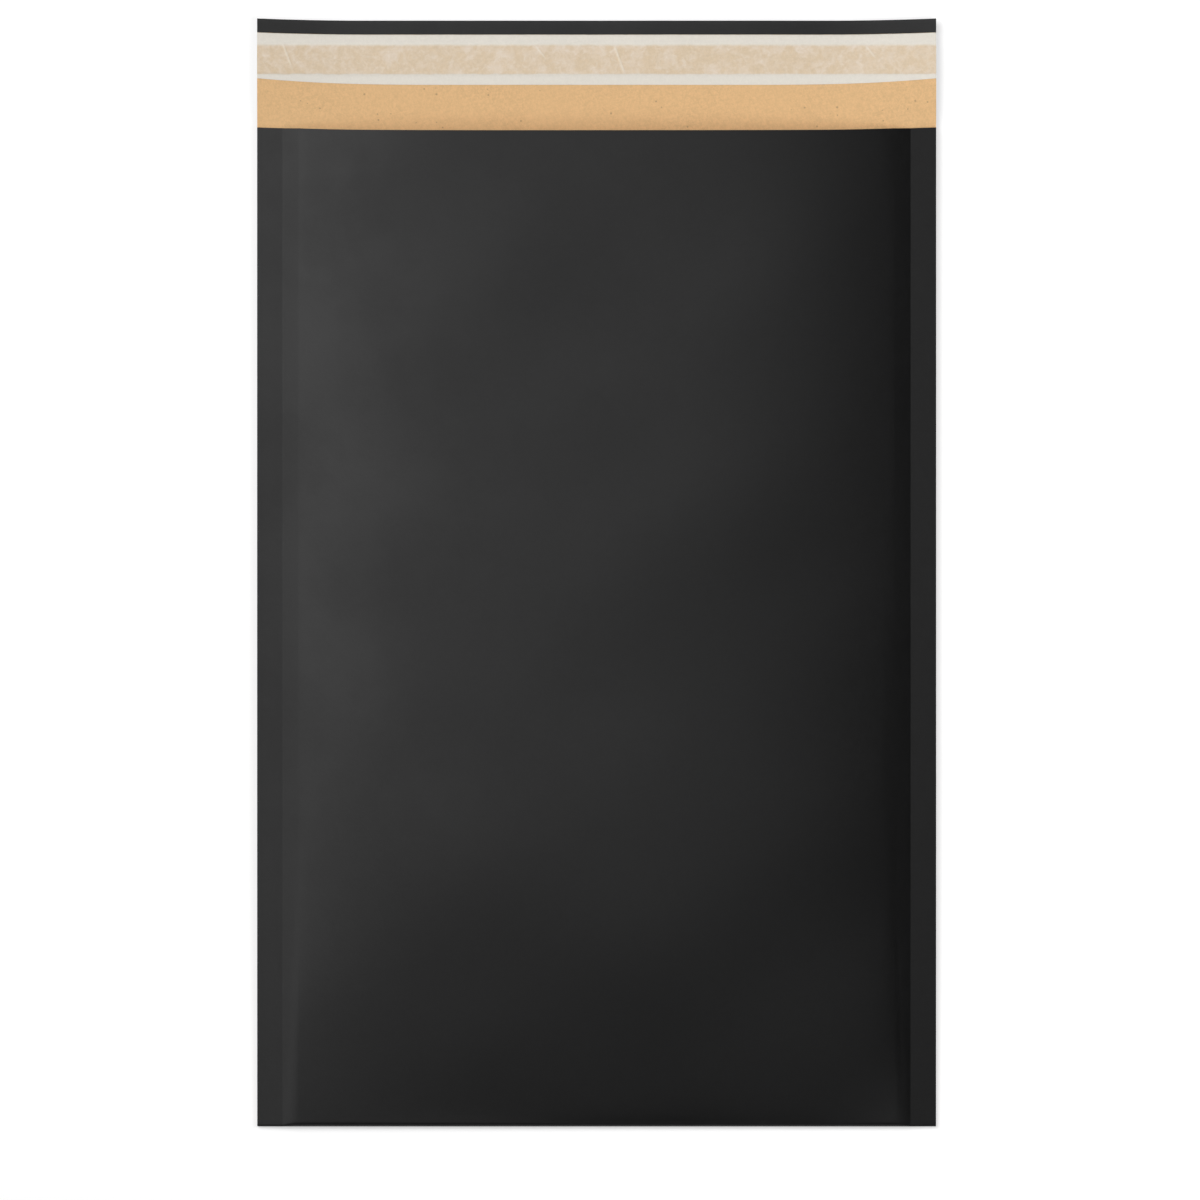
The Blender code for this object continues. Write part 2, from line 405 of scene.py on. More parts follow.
def flap_waves(x, y, shape):
    """Height that the flap gains from waves, fading towards the mouth."""
    height = shape.flap_wave_height * slow_waves(x, y, FLAP_WAVE_SEED, *FLAP_WAVE_LENGTHS)
    past_taper = share_of(y - POCKET_LENGTH - FLAP_TAPER, FLAP_TAPER)
    return height * past_taper**2 * (3 - 2 * past_taper)


# Parts of the section, each as the places and heights of its rows


def front_wall(x, inset, end, rows, shape):
    low = bend_centre(x)
    start = end - MOUTH_TRIM - MOUTH_DIP * crown(x)
    y = start + (low - start) * rows
    outer_height = wall_level(x, y) + LINING_PITCH + pocket_gap(x, y) + lining_inset(x, y)
    return bowed(x, y), outer_height - inset(x, y) + front_waves(x, y, shape)


def bottom_bend(x, inset, turns):
    radius = bend_radius(x) - inset(x, 0 * x)
    centre_z = wall_level(x, 0 * x) + LINING_PITCH / 2
    return bowed(x, bend_centre(x) - radius * np.sin(turns)), centre_z + radius * np.cos(turns)


def back_wall(x, inset, end, rows):
    low = bend_centre(x)
    y = low + (end - low) * rows
    return bowed(x, y), wall_level(x, y) - lining_inset(x, y) + inset(x, y)


def flap_level(x, y, shape):
    """Height of the lining's middle surface on the flap."""
    droop = FLAP_DROOP * (y - POCKET_LENGTH) / FLAP_LENGTH
    return LINING_LEVEL - seam_sag(x) - droop + flap_curl(x, y) + flap_waves(x, y, shape)


def hem(x, shape):
    """The outer sheet's end, turned forward over the end of the lining."""
    turns = np.linspace(0, math.pi, HEM_BEND_STEPS + 1)[1:, None]
    level = flap_level(x, HEM_CENTRE + 0 * x, shape)
    bend_y = bowed(x, HEM_CENTRE + SEAM_PITCH * np.sin(turns))
    bend_z = level - SEAM_PITCH * np.cos(turns)
    y = np.linspace(HEM_CENTRE, FLAP_END - HEM_WIDTH, HEM_STEPS + 1)[1:, None] + 0 * x
    return stacked((bend_y, bend_z), (bowed(x, y), flap_level(x, y, shape) + SEAM_PITCH))


def stacked(*parts):
    """Joins parts of a section, given as places and heights, row after row."""
    return np.concatenate([y for y, _ in parts]), np.concatenate([z for _, z in parts])


# Where the rows and the columns of a sheet lie


def across(spacing):
    """Columns from the left edge to the right edge, close together on the shoulders."""
    panel = np.linspace(0, PANEL_EDGE, round(PANEL_EDGE / spacing) + 1)
    shoulder = np.linspace(PANEL_EDGE, SEAM_LINE, SHOULDER_STEPS + 1)[1:]
    beside = [SEAM_LINE - SEAM_LINE_SPACING, SEAM_LINE + SEAM_LINE_SPACING]
    seam = np.linspace(SEAM_LINE, HALF_WIDTH, round(SEAM_WIDTH / SEAM_SPACING) + 1)[1:]
    right = np.sort(np.concatenate([panel, shoulder, beside, seam]))
    return np.concatenate([-right[:0:-1], right])[None, :]


def wall_rows(spacing, first=MOUTH_STEPS):
    """Rows of a wall from its mouth to the bottom, as shares of its length."""
    past_first = np.arange(first[-1] + spacing, POCKET_LENGTH, spacing)
    return np.append(np.concatenate([first, past_first]) / POCKET_LENGTH, 1)[:, None]


def bend_turns():
    return np.linspace(0, math.pi, BEND_STEPS + 1)[1:-1, None]


def flap_rows(end):
    count = round((end - POCKET_LENGTH) / FLAP_SPACING)
    return np.linspace(POCKET_LENGTH, end, count + 1)[1:, None]


def at_outer_sheet(x, y):
    return 0 * (x + y)


def pocket_section(x, inset, end, spacing, shape):
    """A ply of the pocket, from the mouth down the front, round the bottom and up the back."""
    return stacked(
        front_wall(x, inset, end, wall_rows(spacing), shape),
        bottom_bend(x, inset, bend_turns()),
        back_wall(x, inset, end, 1 - wall_rows(BACK_SPACING)[::-1]),
    )


def outer_section(x, shape):
    y = flap_rows(HEM_CENTRE) + 0 * x
    padded = 0.5 + 0.5 * np.cos(math.pi * share_of(y - POCKET_LENGTH, FLAP_TAPER))
    inset = SEAM_PITCH + (lining_inset(x, y) - SEAM_PITCH) * padded
    pocket = pocket_section(x, at_outer_sheet, POCKET_LENGTH, WALL_SPACING, shape)
    return stacked(pocket, (bowed(x, y), flap_level(x, y, shape) - inset), hem(x, shape))


def lining_section(x, shape):
    y = flap_rows(HEM_CENTRE) + 0 * x
    pocket = pocket_section(x, lining_inset, POCKET_LENGTH, 2 * WALL_SPACING, shape)
    return stacked(pocket, (bowed(x, y), flap_level(x, y, shape)))


def padding_section(x, depth, shape):
    """A layer of the padding, at a depth from 0 under the outer sheet to 1 over the lining."""

    def inset(x, y):
        under_outer_sheet = OUTER_GAUGE / 2 + PLY_GAP
        over_lining = lining_inset(x, y) - LINING_GAUGE / 2 - PLY_GAP
        return under_outer_sheet + (over_lining - under_outer_sheet) * depth

    return pocket_section(x, inset, POCKET_LENGTH - PADDING_SETBACK, 2 * WALL_SPACING, shape)


def points_of(x, section):
    """The points of a sheet in the frame, row by row."""
    y, z = section
    return np.stack([np.broadcast_to(x, y.shape), y - ORIGIN_ALONG, z], axis=-1)


# Meshes


def sheet_normals(points):
    """Unit normals of a sheet's points, on the side that is outside in the front wall."""
    down_rows, along_columns = np.gradient(points, axis=0), np.gradient(points, axis=1)
    normals = np.cross(down_rows, along_columns)
    return normals / np.linalg.norm(normals, axis=-1, keepdims=True)


def quads(corners):
    return np.stack([corner.ravel() for corner in corners], axis=-1)


def layered_mesh(name, layers):
    """Closed mesh between the first and the last of several sheets with the same rows."""
    count, rows, columns = len(layers), *layers[0].shape[:2]
    number = np.arange(count * rows * columns).reshape(count, rows, columns)
    first, last = number[0], number[-1]
    faces = [
        quads([first[:-1, :-1], first[1:, :-1], first[1:, 1:], first[:-1, 1:]]),
        quads([last[:-1, :-1], last[:-1, 1:], last[1:, 1:], last[1:, :-1]]),
    ]
    for above, below in zip(number[:-1], number[1:]):
        faces += [
            quads([above[0, :-1], above[0, 1:], below[0, 1:], below[0, :-1]]),
            quads([above[-1, 1:], above[-1, :-1], below[-1, :-1], below[-1, 1:]]),
            quads([above[1:, 0], above[:-1, 0], below[:-1, 0], below[1:, 0]]),
            quads([above[:-1, -1], above[1:, -1], below[1:, -1], below[:-1, -1]]),
        ]
    corners = np.concatenate([layer.reshape(-1, 3) for layer in layers])
    used, faces = np.unique(np.concatenate(faces), return_inverse=True)
    mesh = bpy.data.meshes.new(name)
    mesh.from_pydata(corners[used].tolist(), [], faces.reshape(-1, 4).tolist())
    mesh.shade_smooth()
    mesh.set_sharp_from_angle(angle=SHARP_ANGLE)
    return mesh


def sheet_mesh(name, points, gauge):
    half = sheet_normals(points) * gauge / 2
    return layered_mesh(name, [points + half, points - half])


def place_piece(name, mesh, look, node):
    """Make the object of a mesh and put it in the frame in its solid's place."""
    mesh.materials.append(look)
    piece = bpy.data.objects.new(name, mesh)
    bpy.context.scene.collection.objects.link(piece)
    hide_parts(node)
    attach(piece, "root")
    return piece


# Shader groups that several papers share


def new_group(name, inputs, outputs):
    """Empty shader group, with its start and end nodes."""
    group = bpy.data.node_groups.new(name, "ShaderNodeTree")
    for label, kind, default in inputs:
        socket = group.interface.new_socket(label, in_out="INPUT", socket_type=kind)
        if default is not None:
            socket.default_value = default
    for label, kind in outputs:
        group.interface.new_socket(label, in_out="OUTPUT", socket_type=kind)
    return group, group.nodes.new("NodeGroupInput"), group.nodes.new("NodeGroupOutput")


def math_node(tree, operation, first, second=0.0, clamp=False):
    """Math node on two sockets or numbers; gives its output."""
    node = tree.nodes.new("ShaderNodeMath")
    node.operation, node.use_clamp = operation, clamp
    for socket, value in zip(node.inputs, (first, second)):
        feed(tree, socket, value)
    return node.outputs[0]


def feed(tree, socket, value):
    """Link an output to a socket, or set the socket to a number or colour."""
    if isinstance(value, bpy.types.NodeSocket):
        tree.links.new(value, socket)
    else:
        socket.default_value = value


def spread(tree, value, low, high, out_low=0.0, out_high=1.0):
    """Map Range node, smooth and clamped."""
    node = tree.nodes.new("ShaderNodeMapRange")
    node.interpolation_type = "SMOOTHSTEP"
    for label, number in (
        ("From Min", low),
        ("From Max", high),
        ("To Min", out_low),
        ("To Max", out_high),
    ):
        feed(tree, node.inputs[label], number)
    tree.links.new(value, node.inputs["Value"])
    return node.outputs["Result"]


def noise(tree, vector, scale, detail=2.0, roughness=0.5, distortion=0.0):
    node = tree.nodes.new("ShaderNodeTexNoise")
    tree.links.new(vector, node.inputs["Vector"])
    feed(tree, node.inputs["Scale"], scale)
    node.inputs["Detail"].default_value = detail
    node.inputs["Roughness"].default_value = roughness
    node.inputs["Distortion"].default_value = distortion
    return node.outputs["Fac"]


def turned(tree, vector, angle, stretch):
    """Coordinates for a pattern that is turned about Z and stretched that way."""
    node = tree.nodes.new("ShaderNodeMapping")
    node.vector_type = "TEXTURE"
    node.inputs["Rotation"].default_value = (0, 0, angle)
    node.inputs["Scale"].default_value = (stretch, 1, 1)
    tree.links.new(vector, node.inputs["Vector"])
    return node.outputs["Vector"]


def mixed(tree, share, first, second, blend="MIX"):
    """Mix of two colours; gives the result's output."""
    node = tree.nodes.new("ShaderNodeMix")
    node.data_type, node.blend_type = "RGBA", blend
    # The node's colours go into inputs 6 and 7, and come out of output 2
    feed(tree, node.inputs["Factor"], share)
    feed(tree, node.inputs[6], first)
    feed(tree, node.inputs[7], second)
    return node.outputs[2]


def make_fibre_group():
    """Paper fibres: short lines in several directions over a fine grain."""
    group, start, end = new_group(
        "paper_fibres",
        [("Vector", "NodeSocketVector", None), ("Scale", "NodeSocketFloat", 1.0)],
        [("Height", "NodeSocketFloat"), ("Tone", "NodeSocketFloat")],
    )
    vector, scale = start.outputs["Vector"], start.outputs["Scale"]
    fine = math_node(group, "MULTIPLY", scale, 1.6)
    layers = [noise(group, vector, fine, 3.0, 0.6)]
    for angle, stretch in ((0.25, 4.0), (1.35, 3.2), (2.3, 3.6)):
        layers.append(noise(group, turned(group, vector, angle, stretch), scale, 2.0, 0.55, 0.4))
    total = layers[0]
    for layer in layers[1:]:
        total = math_node(group, "ADD", total, layer)
    average = math_node(group, "DIVIDE", total, len(layers))
    group.links.new(average, end.inputs["Height"])
    group.links.new(spread(group, average, 0.38, 0.62), end.inputs["Tone"])
    return group


def make_cloud_group():
    """Uneven formation of a sheet: soft clouds of two sizes."""
    group, start, end = new_group(
        "paper_clouds",
        [("Vector", "NodeSocketVector", None), ("Scale", "NodeSocketFloat", 1.0)],
        [("Cloud", "NodeSocketFloat")],
    )
    vector, scale = start.outputs["Vector"], start.outputs["Scale"]
    large = noise(group, vector, scale, 2.0, 0.5)
    small = noise(group, vector, math_node(group, "MULTIPLY", scale, 6.0), 3.0, 0.6)
    both = math_node(group, "ADD", math_node(group, "MULTIPLY", large, 0.65),
                     math_node(group, "MULTIPLY", small, 0.35))
    group.links.new(spread(group, both, 0.3, 0.7), end.inputs["Cloud"])
    return group


def make_speck_group():
    """Sparse specks of bark and darker fibre."""
    group, start, end = new_group(
        "paper_specks",
        [
            ("Vector", "NodeSocketVector", None),
            ("Scale", "NodeSocketFloat", 1.0),
            ("Amount", "NodeSocketFloat", 0.3),
        ],
        [("Speck", "NodeSocketFloat")],
    )
    cells = group.nodes.new("ShaderNodeTexVoronoi")
    group.links.new(start.outputs["Vector"], cells.inputs["Vector"])
    group.links.new(start.outputs["Scale"], cells.inputs["Scale"])
    chance = group.nodes.new("ShaderNodeSeparateColor")
    group.links.new(cells.outputs["Color"], chance.inputs["Color"])
    chosen = math_node(group, "LESS_THAN", chance.outputs["Red"], start.outputs["Amount"])
    size = math_node(group, "MULTIPLY", chance.outputs["Green"], 0.17)
    inside = math_node(group, "SUBTRACT", size, cells.outputs["Distance"])
    dot = spread(group, inside, -0.04, 0.04)
    group.links.new(math_node(group, "MULTIPLY", dot, chosen), end.inputs["Speck"])
    return group


def shared_groups():
    """The shader groups, made once."""
    makers = {
        "paper_fibres": make_fibre_group,
        "paper_clouds": make_cloud_group,
        "paper_specks": make_speck_group,
    }
    return {name: bpy.data.node_groups.get(name) or make() for name, make in makers.items()}


def place_group(tree, group, vector, **values):
    node = tree.nodes.new("ShaderNodeGroup")
    node.node_tree = group
    tree.links.new(vector, node.inputs["Vector"])
    for label, value in values.items():
        feed(tree, node.inputs[label], value)
    return node


# Materials


def new_look(name, roughness):
    """Material with a Principled shader; gives it with its tree, shader and coordinates."""
    look = bpy.data.materials.new(name)
    look.use_nodes = True
    tree = look.node_tree
    shader = tree.nodes["Principled BSDF"]
    shader.inputs["Roughness"].default_value = roughness
    coordinates = tree.nodes.new("ShaderNodeTexCoord")
    return look, tree, shader, coordinates.outputs["Object"]


def add_bump(tree, shader, height, strength, distance):
    bump = tree.nodes.new("ShaderNodeBump")
    bump.inputs["Strength"].default_value = strength
    bump.inputs["Distance"].default_value = distance
    tree.links.new(height, bump.inputs["Height"])
    tree.links.new(bump.outputs["Normal"], shader.inputs["Normal"])


def shade_of(colour, share):
    return tuple(channel * share for channel in colour) + (1,)


def black_paper(paper):
    """Black kraft with a low sheen that varies with the sheet's formation."""
    look, tree, shader, place = new_look("black_paper", 0.5)
    groups = shared_groups()
    fibres = place_group(tree, groups["paper_fibres"], place, Scale=1000.0)
    clouds = place_group(tree, groups["paper_clouds"], place, Scale=22.0)
    tone = mixed(tree, fibres.outputs["Tone"], shade_of(paper.black, 0.1),
                 shade_of(paper.black, 2.2))
    share = math_node(tree, "MULTIPLY", clouds.outputs["Cloud"], 0.3)
    feed(tree, shader.inputs["Base Color"],
         mixed(tree, share, tone, shade_of(paper.black, 1.35)))
    feed(tree, shader.inputs["Roughness"], spread(tree, clouds.outputs["Cloud"], 0, 1, 0.62, 0.58))
    shader.inputs["Specular IOR Level"].default_value = 0.64
    add_bump(tree, shader, fibres.outputs["Height"], 0.5, 0.12 * MM)
    return look


def kraft_paper(paper):
    """Natural kraft: brown fibres, soft clouds and a few dark specks."""
    look, tree, shader, place = new_look("kraft_paper", 0.8)
    groups = shared_groups()
    fibres = place_group(tree, groups["paper_fibres"], place, Scale=1500.0)
    clouds = place_group(tree, groups["paper_clouds"], place, Scale=40.0)
    specks = place_group(tree, groups["paper_specks"], place, Scale=420.0, Amount=0.35)
    body = mixed(tree, fibres.outputs["Tone"], shade_of(paper.kraft, 0.9),
                 shade_of(paper.kraft, 1.1))
    clouded = mixed(tree, math_node(tree, "MULTIPLY", clouds.outputs["Cloud"], 0.5), body,
                    shade_of(paper.kraft, 1.05))
    dark = shade_of(paper.kraft, 0.45)
    share = math_node(tree, "MULTIPLY", specks.outputs["Speck"], 0.6)
    feed(tree, shader.inputs["Base Color"], mixed(tree, share, clouded, dark))
    add_bump(tree, shader, fibres.outputs["Height"], 0.4, 0.06 * MM)
    return look


def band_mask(tree, place):
    """Share of the glue band at a place, with a softer end at the top than at the bottom."""
    parts = tree.nodes.new("ShaderNodeSeparateXYZ")
    tree.links.new(place, parts.inputs["Vector"])
    sway = math_node(tree, "SUBTRACT", noise(tree, place, 260.0, 2.0), 0.5)
    along = math_node(tree, "ADD", parts.outputs["Y"], math_node(tree, "MULTIPLY", sway, BAND_SWAY))
    top, low = GLUE_TOP - ORIGIN_ALONG, GLUE_TOP - ADHESIVE_WIDTH - ORIGIN_ALONG
    below_top = spread(tree, along, top - BAND_TOP_FADE, top + BAND_TOP_FADE, 1.0, 0.0)
    above_low = spread(tree, along, low - BAND_LOW_FADE, low + BAND_LOW_FADE)
    return math_node(tree, "MULTIPLY", below_top, above_low)


def release_paper(paper):
    """Pale release paper, darker and mottled where glue wets it from below, with a painted
    highlight along its creases.
    """
    look, tree, shader, place = new_look("release_paper", 0.42)
    groups = shared_groups()
    fibres = place_group(tree, groups["paper_fibres"], place, Scale=1500.0)
    patches = spread(tree, noise(tree, place, 210.0, 3.0, 0.55, 0.8), 0.42, 0.68)
    blots = spread(tree, noise(tree, place, 540.0, 2.0, 0.6, 0.9), 0.4, 0.75)
    lifted = math_node(tree, "MULTIPLY", math_node(tree, "ADD", patches, blots), 0.42)
    worked = mixed(tree, fibres.outputs["Tone"], shade_of(paper.glued, 0.95),
                   shade_of(paper.glued, 1.04))
    band = mixed(tree, lifted, worked, tuple(paper.lifted) + (1,))
    margin = mixed(tree, fibres.outputs["Tone"], shade_of(paper.release, 0.97),
                   shade_of(paper.release, 1.03))
    crease_and_highlight = tree.nodes.new("ShaderNodeAttribute")
    crease_and_highlight.attribute_name = "crease_and_highlight"
    wetted = mixed(tree, band_mask(tree, place), margin, band)
    # Painted highlight: the crease ridges are lightened towards 1.12 times the release paper's
    # colour, for the light they catch
    share = math_node(tree, "MULTIPLY", crease_and_highlight.outputs["Fac"], 0.45)
    feed(tree, shader.inputs["Base Color"],
         mixed(tree, share, wetted, shade_of(paper.release, 1.12)))
    wrinkles = noise(tree, turned(tree, place, 1.25, 3.0), 420.0, 2.0, 0.5, 0.7)
    wetted_height = math_node(tree, "MULTIPLY", wrinkles, band_mask(tree, place))
    height = math_node(tree, "ADD", wetted_height,
                       math_node(tree, "MULTIPLY", fibres.outputs["Height"], 0.25))
    add_bump(tree, shader, height, 0.5, 0.12 * MM)
    return look


def glue_look(paper):
    """Clear glue over kraft, glossy and a little stringy."""
    look, tree, shader, place = new_look("adhesive", 0.28)
    strings = noise(tree, turned(tree, place, 0.0, 9.0), 900.0, 3.0, 0.6, 0.8)
    feed(tree, shader.inputs["Base Color"],
         mixed(tree, spread(tree, strings, 0.35, 0.65), shade_of(paper.kraft, 0.85),
               shade_of(paper.glued, 1.05)))
    add_bump(tree, shader, strings, 0.5, 0.08 * MM)
    return look


def wadding_look(paper):
    """Soft crepe paper wadding with loose fibres."""
    look, tree, shader, place = new_look("padding_paper", 0.95)
    groups = shared_groups()
    fibres = place_group(tree, groups["paper_fibres"], place, Scale=1300.0)
    specks = place_group(tree, groups["paper_specks"], place, Scale=900.0, Amount=0.12)
    body = mixed(tree, fibres.outputs["Tone"], shade_of(paper.wadding, 0.7),
                 shade_of(paper.wadding, 1.25))
    feed(tree, shader.inputs["Base Color"],
         mixed(tree, specks.outputs["Speck"], body, shade_of(paper.wadding, 0.4)))
    add_bump(tree, shader, fibres.outputs["Height"], 0.8, 0.15 * MM)
    return look


# Operators, one for each piece


class ENVELOPE_OT_outer_sheet(bpy.types.Operator):
    """Black outer sheet: front wall, bottom fold, back wall, flap and hem in one web"""

    bl_idname = "envelope.outer_sheet"
    bl_label = "Outer sheet"

    def execute(self, context):
        settings = context.scene.padded_envelope
        x = across(PANEL_SPACING)
        points = points_of(x, outer_section(x, settings.shape))
        mesh = sheet_mesh("black_sheet", points, OUTER_GAUGE)
        place_piece("black_sheet", mesh, black_paper(settings.paper), "outer_sheet")
        return {"FINISHED"}


class ENVELOPE_OT_padding(bpy.types.Operator):
    """Padding of crepe paper plies between the outer sheet and the lining"""

    bl_idname = "envelope.padding"
    bl_label = "Padding"

    def execute(self, context):
        settings = context.scene.padded_envelope
        x = across(PANEL_SPACING / 2)
        x = x[:, shoulder_share(x[0]) >= PADDING_EDGE_SHARE]
        plies = settings.shape.wadding_plies
        rng = np.random.default_rng(PLY_SEED)
        layers = []
        for number in range(2 * plies + 1):
            section = padding_section(x, number / (2 * plies), settings.shape)
            points = points_of(x, section).copy()
            in_ply = number % 2
            ragged = rng.uniform(0.2, 0.8) + 0.35 * slow_waves(x, 0 * x, number, *PLY_WAVE_LENGTHS)
            back = settings.shape.ragged_edge * (np.clip(ragged, 0, 1) + 0.9 * (1 - in_ply))
            points[0, :, 1] -= back[0]
            layers.append(points)
        mesh = layered_mesh("wadding", layers)
        piece = place_piece(
            "wadding", mesh, wadding_look(settings.paper), "padding"
        )
        return {"FINISHED"}


class ENVELOPE_OT_lining(bpy.types.Operator):
    """Kraft lining of the pocket and of the flap"""

    bl_idname = "envelope.lining"
    bl_label = "Lining"

    def execute(self, context):
        settings = context.scene.padded_envelope
        x = across(PANEL_SPACING)
        points = points_of(x, lining_section(x, settings.shape))
        mesh = sheet_mesh("kraft_lining", points, LINING_GAUGE)
        place_piece("kraft_lining", mesh, kraft_paper(settings.paper), "lining")
        return {"FINISHED"}


class ENVELOPE_OT_adhesive_strip(bpy.types.Operator):
    """Band of glue across the flap, under the release liner"""

    bl_idname = "envelope.adhesive_strip"
    bl_label = "Adhesive strip"

    def execute(self, context):
        settings = context.scene.padded_envelope
        x = across(PANEL_SPACING)
        y = np.linspace(GLUE_TOP - ADHESIVE_WIDTH, GLUE_TOP, GLUE_ROWS)[::-1, None] + 0 * x
        height = LINING_GAUGE / 2 + PRESSED_GAP + ADHESIVE_THICKNESS / 2
        z = flap_level(x, y, settings.shape) + height
        points = points_of(x, (bowed(x, y), z))
        mesh = sheet_mesh("glue_band", points, ADHESIVE_THICKNESS)
        place_piece("glue_band", mesh, glue_look(settings.paper), "adhesive_strip")
        return {"FINISHED"}


def crease_shares(x, y):
    """How near each point of the liner is to a crease, from 0 to 1 on its ridge."""
    share = np.zeros(np.broadcast(x, y).shape)
    from_left, down = x + HALF_WIDTH, FLAP_END - HEM_WIDTH - y
    for start, end in LINER_CREASES:
        run = np.subtract(end, start)
        length = math.hypot(*run)
        along = ((from_left - start[0]) * run[0] + (down - start[1]) * run[1]) / length
        beside = ((from_left - start[0]) * run[1] - (down - start[1]) * run[0]) / length
        ends = np.clip(np.minimum(along, length - along) / CREASE_END_FADE + 0.5, 0, 1)
        share = np.maximum(share, np.exp(-((beside / CREASE_WIDTH) ** 2)) * ends)
    return share


def liner_columns():
    """Columns of the liner, closer together where its creases are."""
    columns = set(across(PANEL_SPACING)[0])
    for start, end in LINER_CREASES:
        low, high = start[0] - HALF_WIDTH - CREASE_REACH, end[0] - HALF_WIDTH + CREASE_REACH
        columns = {x for x in columns if not low < x < high}
        columns |= set(np.linspace(low, high, round((high - low) / CREASE_SPACING)))
    return np.array(sorted(columns))[None, :]


class ENVELOPE_OT_release_liner(bpy.types.Operator):
    """Pale release liner over the glue, with its small creases"""

    bl_idname = "envelope.release_liner"
    bl_label = "Release liner"

    def execute(self, context):
        settings = context.scene.padded_envelope
        x = liner_columns()
        near_side = share_of(np.abs(x) - (HALF_WIDTH - LINER_BOW_REACH), LINER_BOW_REACH)
        low = LINER_TOP - LINER_WIDTH + LINER_BOW * near_side**2
        top = LINER_TOP + LINER_LIFT
        y = top + (low - top) * np.linspace(0, 1, LINER_ROWS)[:, None]
        crease_and_highlight = crease_shares(x, y)
        height = LINING_GAUGE / 2 + 2 * PRESSED_GAP + LINER_GAUGE / 2
        from_band = np.abs(y - GLUE_TOP + ADHESIVE_WIDTH / 2) - ADHESIVE_WIDTH / 2
        over_glue = ADHESIVE_THICKNESS * (1 - share_of(from_band, GLUE_STEP))
        raised = over_glue + settings.shape.crease_height * crease_and_highlight
        z = flap_level(x, y, settings.shape) + height + raised
        points = points_of(x, (bowed(x, y), z))
        mesh = sheet_mesh("release_strip", points, LINER_GAUGE)
        # The crease share raises the liner and is kept for the material, which paints a highlight
        # along it
        mark = mesh.attributes.new("crease_and_highlight", "FLOAT", "POINT")
        mark.data.foreach_set("value", np.tile(crease_and_highlight.ravel(), 2))
        place_piece(
            "release_strip", mesh, release_paper(settings.paper), "release_liner"
        )
        return {"FINISHED"}


# The stage, with its lamps' places from the middle of the envelope

FLOOR_HALF = 30.0
FLOOR_DROP = 0.05 * MM
KEY_DISTANCE = 2.6
KEY_SIZE = 2.0
KEY_OFF_VERTICAL = math.radians(37)
KEY_HEADING = math.radians(142.5)
FILL_SIZE = 0.4
FILL_PLACE = (0.32, -0.02, 0.5)
FLOOR_GLOW = 0.47
HORIZON_GLOW = 0.3
HORIZON_FALLOFF = 16.0
FLOOR_PATCHES = 8
VIEW_CENTRE = (1.23 * MM, -10.12 * MM)
VIEW_LEVEL = 3.4 * MM
SENSOR_WIDTH = 36.0


def floor_look():
    """Pale floor that keeps the envelope's shadow and reads white to the camera elsewhere."""
    look, tree, shader, place = new_look("floor", 0.9)
    clouds = noise(tree, place, 3.0, 2.0)
    feed(tree, shader.inputs["Base Color"],
         mixed(tree, clouds, (0.59, 0.59, 0.59, 1), (0.61, 0.61, 0.61, 1)))
    path = tree.nodes.new("ShaderNodeLightPath")
    seen = path.outputs["Is Camera Ray"]
    for label in ("Is Glossy Ray", "Is Transmission Ray"):
        seen = math_node(tree, "ADD", seen, path.outputs[label], clamp=True)
    shader.inputs["Emission Color"].default_value = (1, 1, 1, 1)
    feed(tree, shader.inputs["Emission Strength"], math_node(tree, "MULTIPLY", seen, FLOOR_GLOW))
    return look


def make_floor():
    steps = np.linspace(-FLOOR_HALF, FLOOR_HALF, FLOOR_PATCHES + 1)
    corners = [(x, y, -FLOOR_DROP) for y in steps for x in steps]
    number = np.arange(len(corners)).reshape(len(steps), len(steps))
    faces = quads([number[:-1, :-1], number[:-1, 1:], number[1:, 1:], number[1:, :-1]])
    mesh = bpy.data.meshes.new("floor")
    mesh.from_pydata(corners, [], faces.tolist())
    mesh.materials.append(floor_look())
    floor = bpy.data.objects.new("floor", mesh)
    bpy.context.scene.collection.objects.link(floor)


def make_lamp(name, power, size, place):
    """Round soft lamp that faces the middle of the envelope."""
    lamp = bpy.data.lights.new(name, "AREA")
    lamp.shape, lamp.size, lamp.energy = "DISK", size, power
    stand = bpy.data.objects.new(name, lamp)
    stand.location = place
    stand.rotation_euler = Vector(place).to_track_quat("Z", "Y").to_euler()
    stand.visible_camera = False
    bpy.context.scene.collection.objects.link(stand)
    return stand


def make_lamps(stage):
    """A large lamp up on the left for sheen, and a small one on the right that adds none."""
    level = KEY_DISTANCE * math.sin(KEY_OFF_VERTICAL)
    key_place = (
        level * math.cos(KEY_HEADING),
        level * math.sin(KEY_HEADING),
        KEY_DISTANCE * math.cos(KEY_OFF_VERTICAL),
    )
    make_lamp("key", stage.key_power, KEY_SIZE, key_place)
    fill = make_lamp("fill", stage.fill_power, FILL_SIZE, FILL_PLACE)
    fill.visible_glossy = False


def make_ambient(strength):
    """Even light on everything, a white view past the floor, and a pale horizon for sheen."""
    world = bpy.data.worlds.new("even_light")
    world.use_nodes = True
    tree = world.node_tree
    background = tree.nodes["Background"]
    background.inputs["Color"].default_value = (1, 1, 1, 1)
    place = tree.nodes.new("ShaderNodeTexCoord")
    parts = tree.nodes.new("ShaderNodeSeparateXYZ")
    tree.links.new(place.outputs["Generated"], parts.inputs["Vector"])
    lowness = math_node(tree, "SUBTRACT", 1.0, parts.outputs["Z"], clamp=True)
    horizon = math_node(tree, "MULTIPLY", math_node(tree, "POWER", lowness, HORIZON_FALLOFF),
                        HORIZON_GLOW)
    path = tree.nodes.new("ShaderNodeLightPath")
    glossy = path.outputs["Is Glossy Ray"]
    even = math_node(tree, "MULTIPLY", math_node(tree, "SUBTRACT", 1.0, glossy), strength)
    sheen = math_node(tree, "MULTIPLY", glossy, horizon)
    unseen = math_node(tree, "ADD", even, sheen)
    background_share = math_node(tree, "MAXIMUM", unseen, path.outputs["Is Camera Ray"])
    tree.links.new(background_share, background.inputs["Strength"])
    bpy.context.scene.world = world


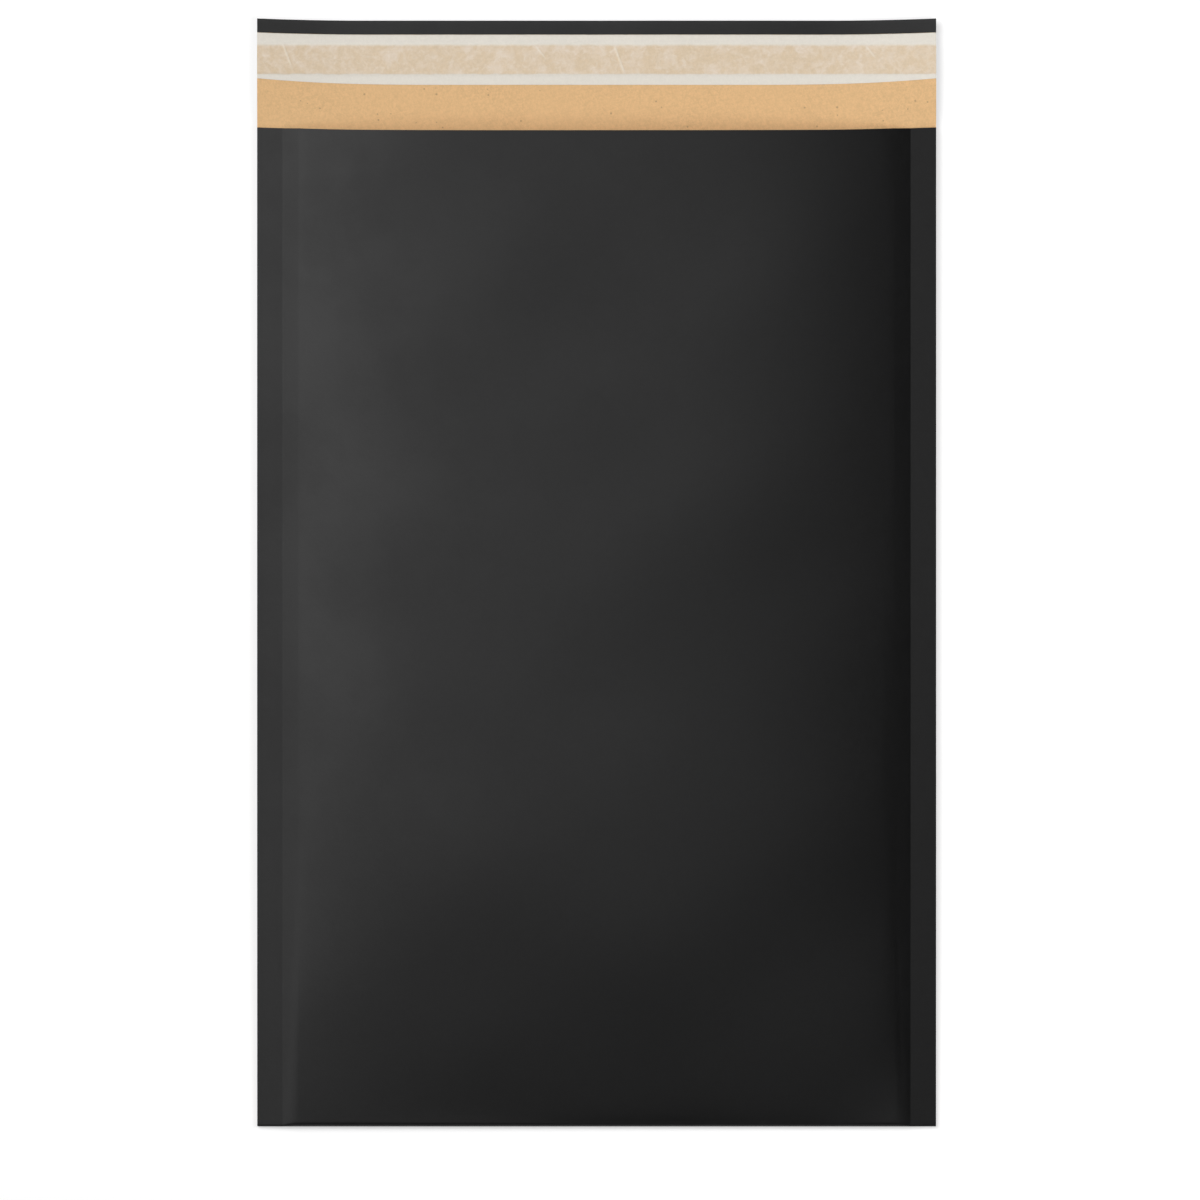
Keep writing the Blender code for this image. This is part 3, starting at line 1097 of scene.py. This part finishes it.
def make_camera(lens, view_width):
    data = bpy.data.cameras.new("camera")
    data.lens, data.sensor_width, data.sensor_fit = lens, SENSOR_WIDTH, "HORIZONTAL"
    data.clip_end = 100
    camera = bpy.data.objects.new("camera", data)
    camera.location = (*VIEW_CENTRE, VIEW_LEVEL + view_width * lens / SENSOR_WIDTH)
    bpy.context.scene.collection.objects.link(camera)
    bpy.context.scene.camera = camera


class ENVELOPE_OT_stage(bpy.types.Operator):
    """Pale floor, soft light and the camera straight above"""

    bl_idname = "envelope.stage"
    bl_label = "Stage"

    def execute(self, context):
        stage = context.scene.padded_envelope.stage
        make_floor()
        make_lamps(stage)
        make_ambient(stage.ambient)
        make_camera(stage.lens, stage.view_width)
        context.scene.view_settings.view_transform = "Standard"
        return {"FINISHED"}


class ENVELOPE_PT_panel(bpy.types.Panel):
    """Lists the envelope's settings and operators"""

    bl_idname = "ENVELOPE_PT_panel"
    bl_label = "Padded envelope"
    bl_space_type = "VIEW_3D"
    bl_region_type = "UI"
    bl_category = "Envelope"

    def draw(self, context):
        settings = context.scene.padded_envelope
        for operator in OPERATORS:
            self.layout.operator(operator.bl_idname)
        for group in (settings.shape, settings.paper, settings.stage):
            column = self.layout.column()
            for name in group.__annotations__:
                column.prop(group, name)


OPERATORS = (
    ENVELOPE_OT_outer_sheet,
    ENVELOPE_OT_padding,
    ENVELOPE_OT_lining,
    ENVELOPE_OT_adhesive_strip,
    ENVELOPE_OT_release_liner,
    ENVELOPE_OT_stage,
)
CLASSES = (
    EnvelopeShapeSettings,
    EnvelopePaperSettings,
    EnvelopeStageSettings,
    EnvelopeSettings,
    *OPERATORS,
    ENVELOPE_PT_panel,
)


def register():
    for made in CLASSES:
        bpy.utils.register_class(made)
    bpy.types.Scene.padded_envelope = bpy.props.PointerProperty(type=EnvelopeSettings)


def unregister():
    del bpy.types.Scene.padded_envelope
    for made in reversed(CLASSES):
        bpy.utils.unregister_class(made)


def write_sizes():
    """Update the view layer."""
    bpy.context.view_layer.update()


def main():
    register()
    for operator in (
        bpy.ops.envelope.outer_sheet,
        bpy.ops.envelope.padding,
        bpy.ops.envelope.lining,
        bpy.ops.envelope.adhesive_strip,
        bpy.ops.envelope.release_liner,
        bpy.ops.envelope.stage,
    ):
        operator()
    write_sizes()


if __name__ == "__main__":
    main()
